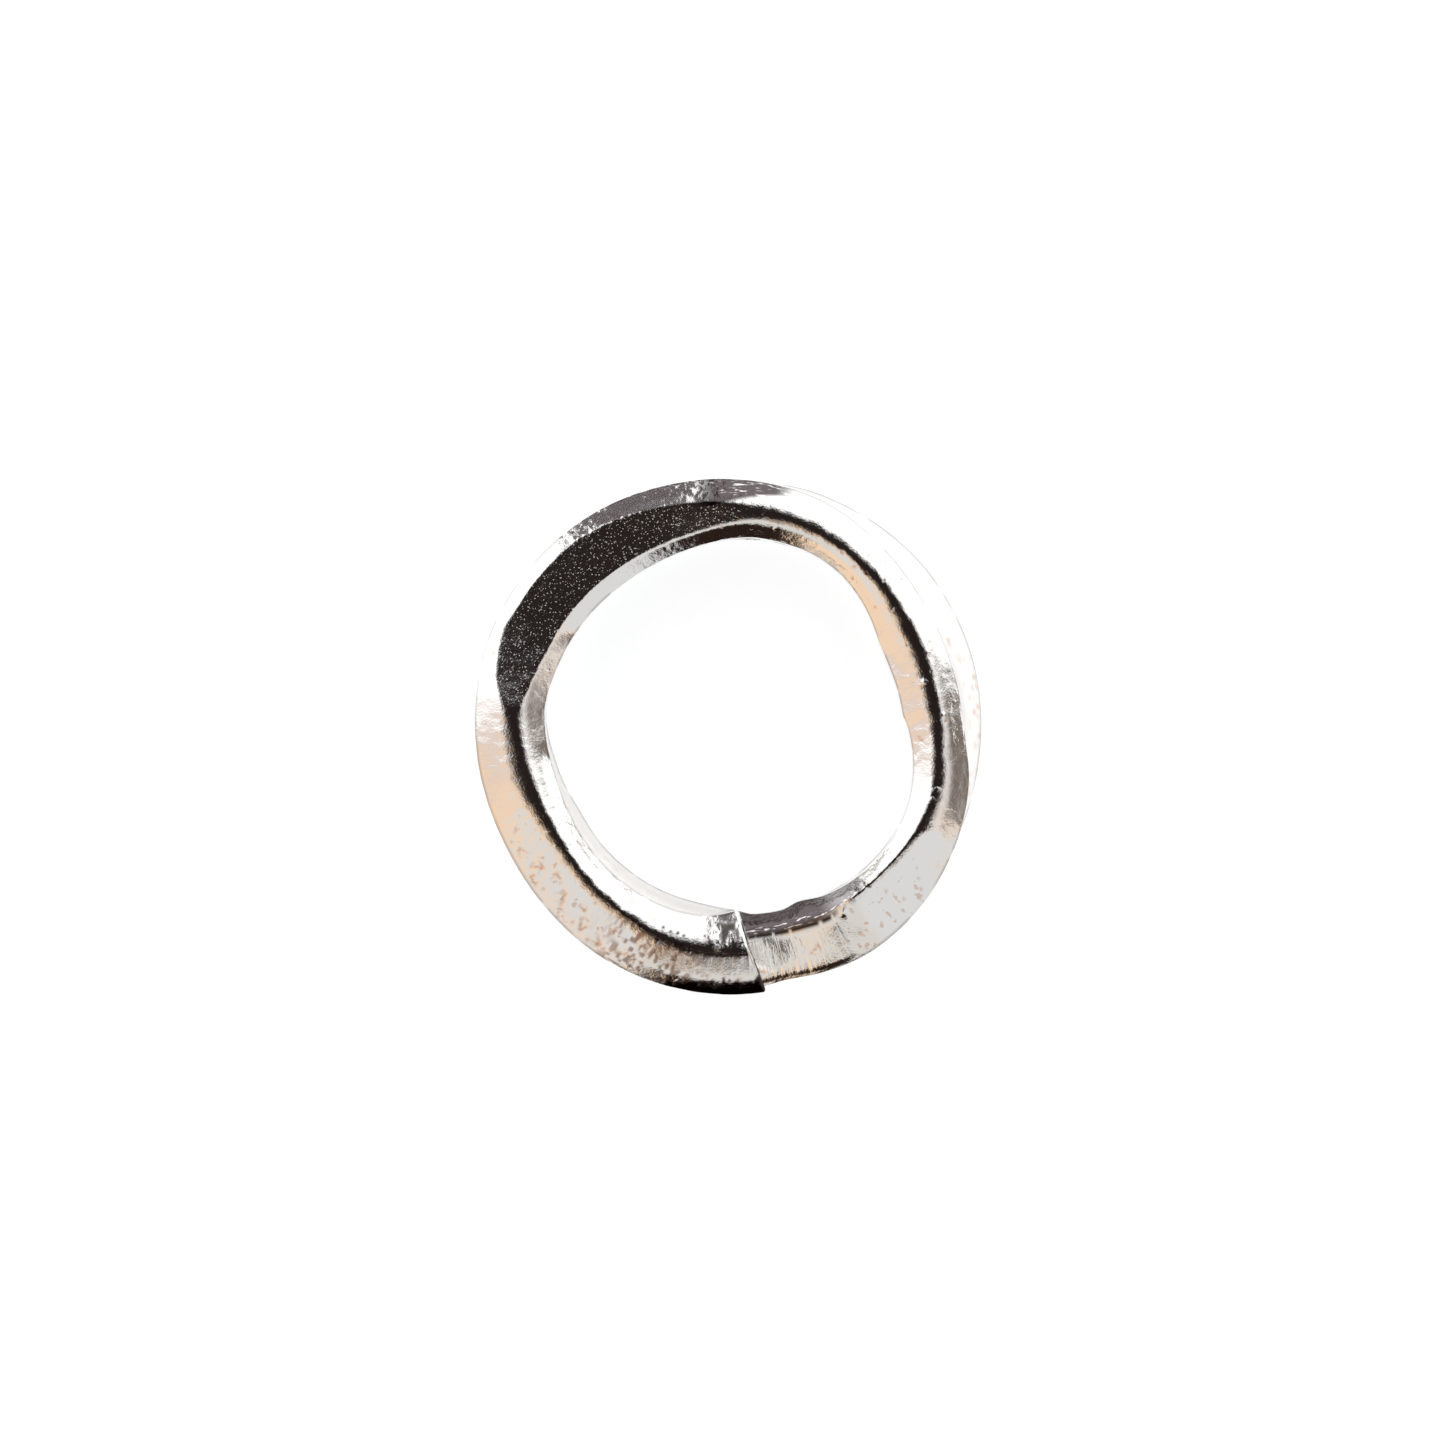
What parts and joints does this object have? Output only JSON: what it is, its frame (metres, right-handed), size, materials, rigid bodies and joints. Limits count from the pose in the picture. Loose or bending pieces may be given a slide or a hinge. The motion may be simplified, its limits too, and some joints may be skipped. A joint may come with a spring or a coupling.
{
  "type": "split key ring",
  "caption": "Flat split ring of plated spring wire, coiled in two turns whose free ends spring apart so that a key's hole can be worked onto it.",
  "frame": {"origin": "middle of the ring's bounding box on the plane that it lies on", "axes": "+Z along the ring's axis; the upper turn's free end at -Y; seen from +Z the wire runs clockwise as it goes down"},
  "size_m": [0.012, 0.0122, 0.0023],
  "materials": {
    "plated_wire": "bright nickel-type plating on hard steel wire, with ground flats, fine grain, pits and small nodules"
  },
  "bodies": {
    "crossover_bend": {"crossover_bend": "plated_wire"},
    "upper_coil_1": {"upper_coil_1": "plated_wire"},
    "upper_coil_2": {"upper_coil_2": "plated_wire"},
    "upper_coil_3": {"upper_coil_3": "plated_wire"},
    "upper_coil_4": {"upper_coil_4": "plated_wire"},
    "upper_coil_5": {"upper_coil_5": "plated_wire"},
    "upper_free_end": {"upper_free_end": "plated_wire"},
    "lower_coil_1": {"lower_coil_1": "plated_wire"},
    "lower_coil_2": {"lower_coil_2": "plated_wire"},
    "lower_coil_3": {"lower_coil_3": "plated_wire"},
    "lower_coil_4": {"lower_coil_4": "plated_wire"},
    "lower_coil_5": {"lower_coil_5": "plated_wire"},
    "lower_free_end": {"lower_free_end": "plated_wire"}
  },
  "joints": [
    {"name": "upper_flex_1", "type": "hinge", "parent": "crossover_bend", "child": "upper_coil_1", "pos_m": [0.00481, -0.00348, 0.00119], "axis": [0.4618, 0.887, 0], "range_deg": [0, 0.649]},
    {"name": "upper_flex_2", "type": "hinge", "parent": "upper_coil_1", "child": "upper_coil_2", "pos_m": [0.00507, 0.00239, 0.00119], "axis": [-0.3827, 0.9239, 0], "range_deg": [0, 1.59]},
    {"name": "upper_turn_opening", "type": "hinge", "parent": "upper_coil_2", "child": "upper_coil_3", "pos_m": [0.00133, 0.00581, 0.00119], "axis": [-0.9537, 0.3007, 0], "range_deg": [0, 2.43], "stiffness_Nm_per_rad": 0.005},
    {"name": "upper_flex_4", "type": "hinge", "parent": "upper_coil_3", "child": "upper_coil_4", "pos_m": [-0.00295, 0.00461, 0.00234], "axis": [-0.9436, -0.3312, 0], "range_deg": [0, 2.36]},
    {"name": "upper_flex_5", "type": "hinge", "parent": "upper_coil_4", "child": "upper_coil_5", "pos_m": [-0.00522, 0.00105, 0.00234], "axis": [-0.7429, -0.6694, 0], "range_deg": [0, 1.93]},
    {"name": "upper_flex_6", "type": "hinge", "parent": "upper_coil_5", "child": "upper_free_end", "pos_m": [-0.00373, -0.00367, 0.00234], "axis": [-0.3665, -0.9304, 0], "range_deg": [0, 1.03]},
    {"name": "lower_flex_1", "type": "hinge", "parent": "crossover_bend", "child": "lower_coil_1", "pos_m": [-0.00156, -0.00524, 0.00115], "axis": [-0.9397, 0.342, 0], "range_deg": [0, 0.517]},
    {"name": "lower_flex_2", "type": "hinge", "parent": "lower_coil_1", "child": "lower_coil_2", "pos_m": [-0.00539, -0.00141, 0.00115], "axis": [-0.342, 0.9397, 0], "range_deg": [0, 1.55]},
    {"name": "lower_turn_opening", "type": "hinge", "parent": "lower_coil_2", "child": "lower_coil_3", "pos_m": [-0.00501, 0.00284, 0.00115], "axis": [0.5, 0.866, 0], "range_deg": [0, 2.46], "stiffness_Nm_per_rad": 0.005},
    {"name": "lower_flex_4", "type": "hinge", "parent": "lower_coil_3", "child": "lower_coil_4", "pos_m": [-0.00057, 0.00518, 0], "axis": [0.9519, 0.3066, 0], "range_deg": [0, 2.45]},
    {"name": "lower_flex_5", "type": "hinge", "parent": "lower_coil_4", "child": "lower_coil_5", "pos_m": [0.00348, 0.0041, 0], "axis": [0.994, -0.1092, 0], "range_deg": [0, 2.08]},
    {"name": "lower_flex_6", "type": "hinge", "parent": "lower_coil_5", "child": "lower_free_end", "pos_m": [0.00526, 0.00026, 0], "axis": [0.866, -0.5, 0], "range_deg": [0, 1.32]}
  ],
  "couplings": [
    {"joint": "upper_flex_1", "follows": "upper_turn_opening", "ratio": 0.267},
    {"joint": "upper_flex_2", "follows": "upper_turn_opening", "ratio": 0.655},
    {"joint": "upper_flex_4", "follows": "upper_turn_opening", "ratio": 0.97},
    {"joint": "upper_flex_5", "follows": "upper_turn_opening", "ratio": 0.792},
    {"joint": "upper_flex_6", "follows": "upper_turn_opening", "ratio": 0.423},
    {"joint": "lower_flex_1", "follows": "lower_turn_opening", "ratio": 0.21},
    {"joint": "lower_flex_2", "follows": "lower_turn_opening", "ratio": 0.629},
    {"joint": "lower_flex_4", "follows": "lower_turn_opening", "ratio": 0.994},
    {"joint": "lower_flex_5", "follows": "lower_turn_opening", "ratio": 0.844},
    {"joint": "lower_flex_6", "follows": "lower_turn_opening", "ratio": 0.535}
  ]
}
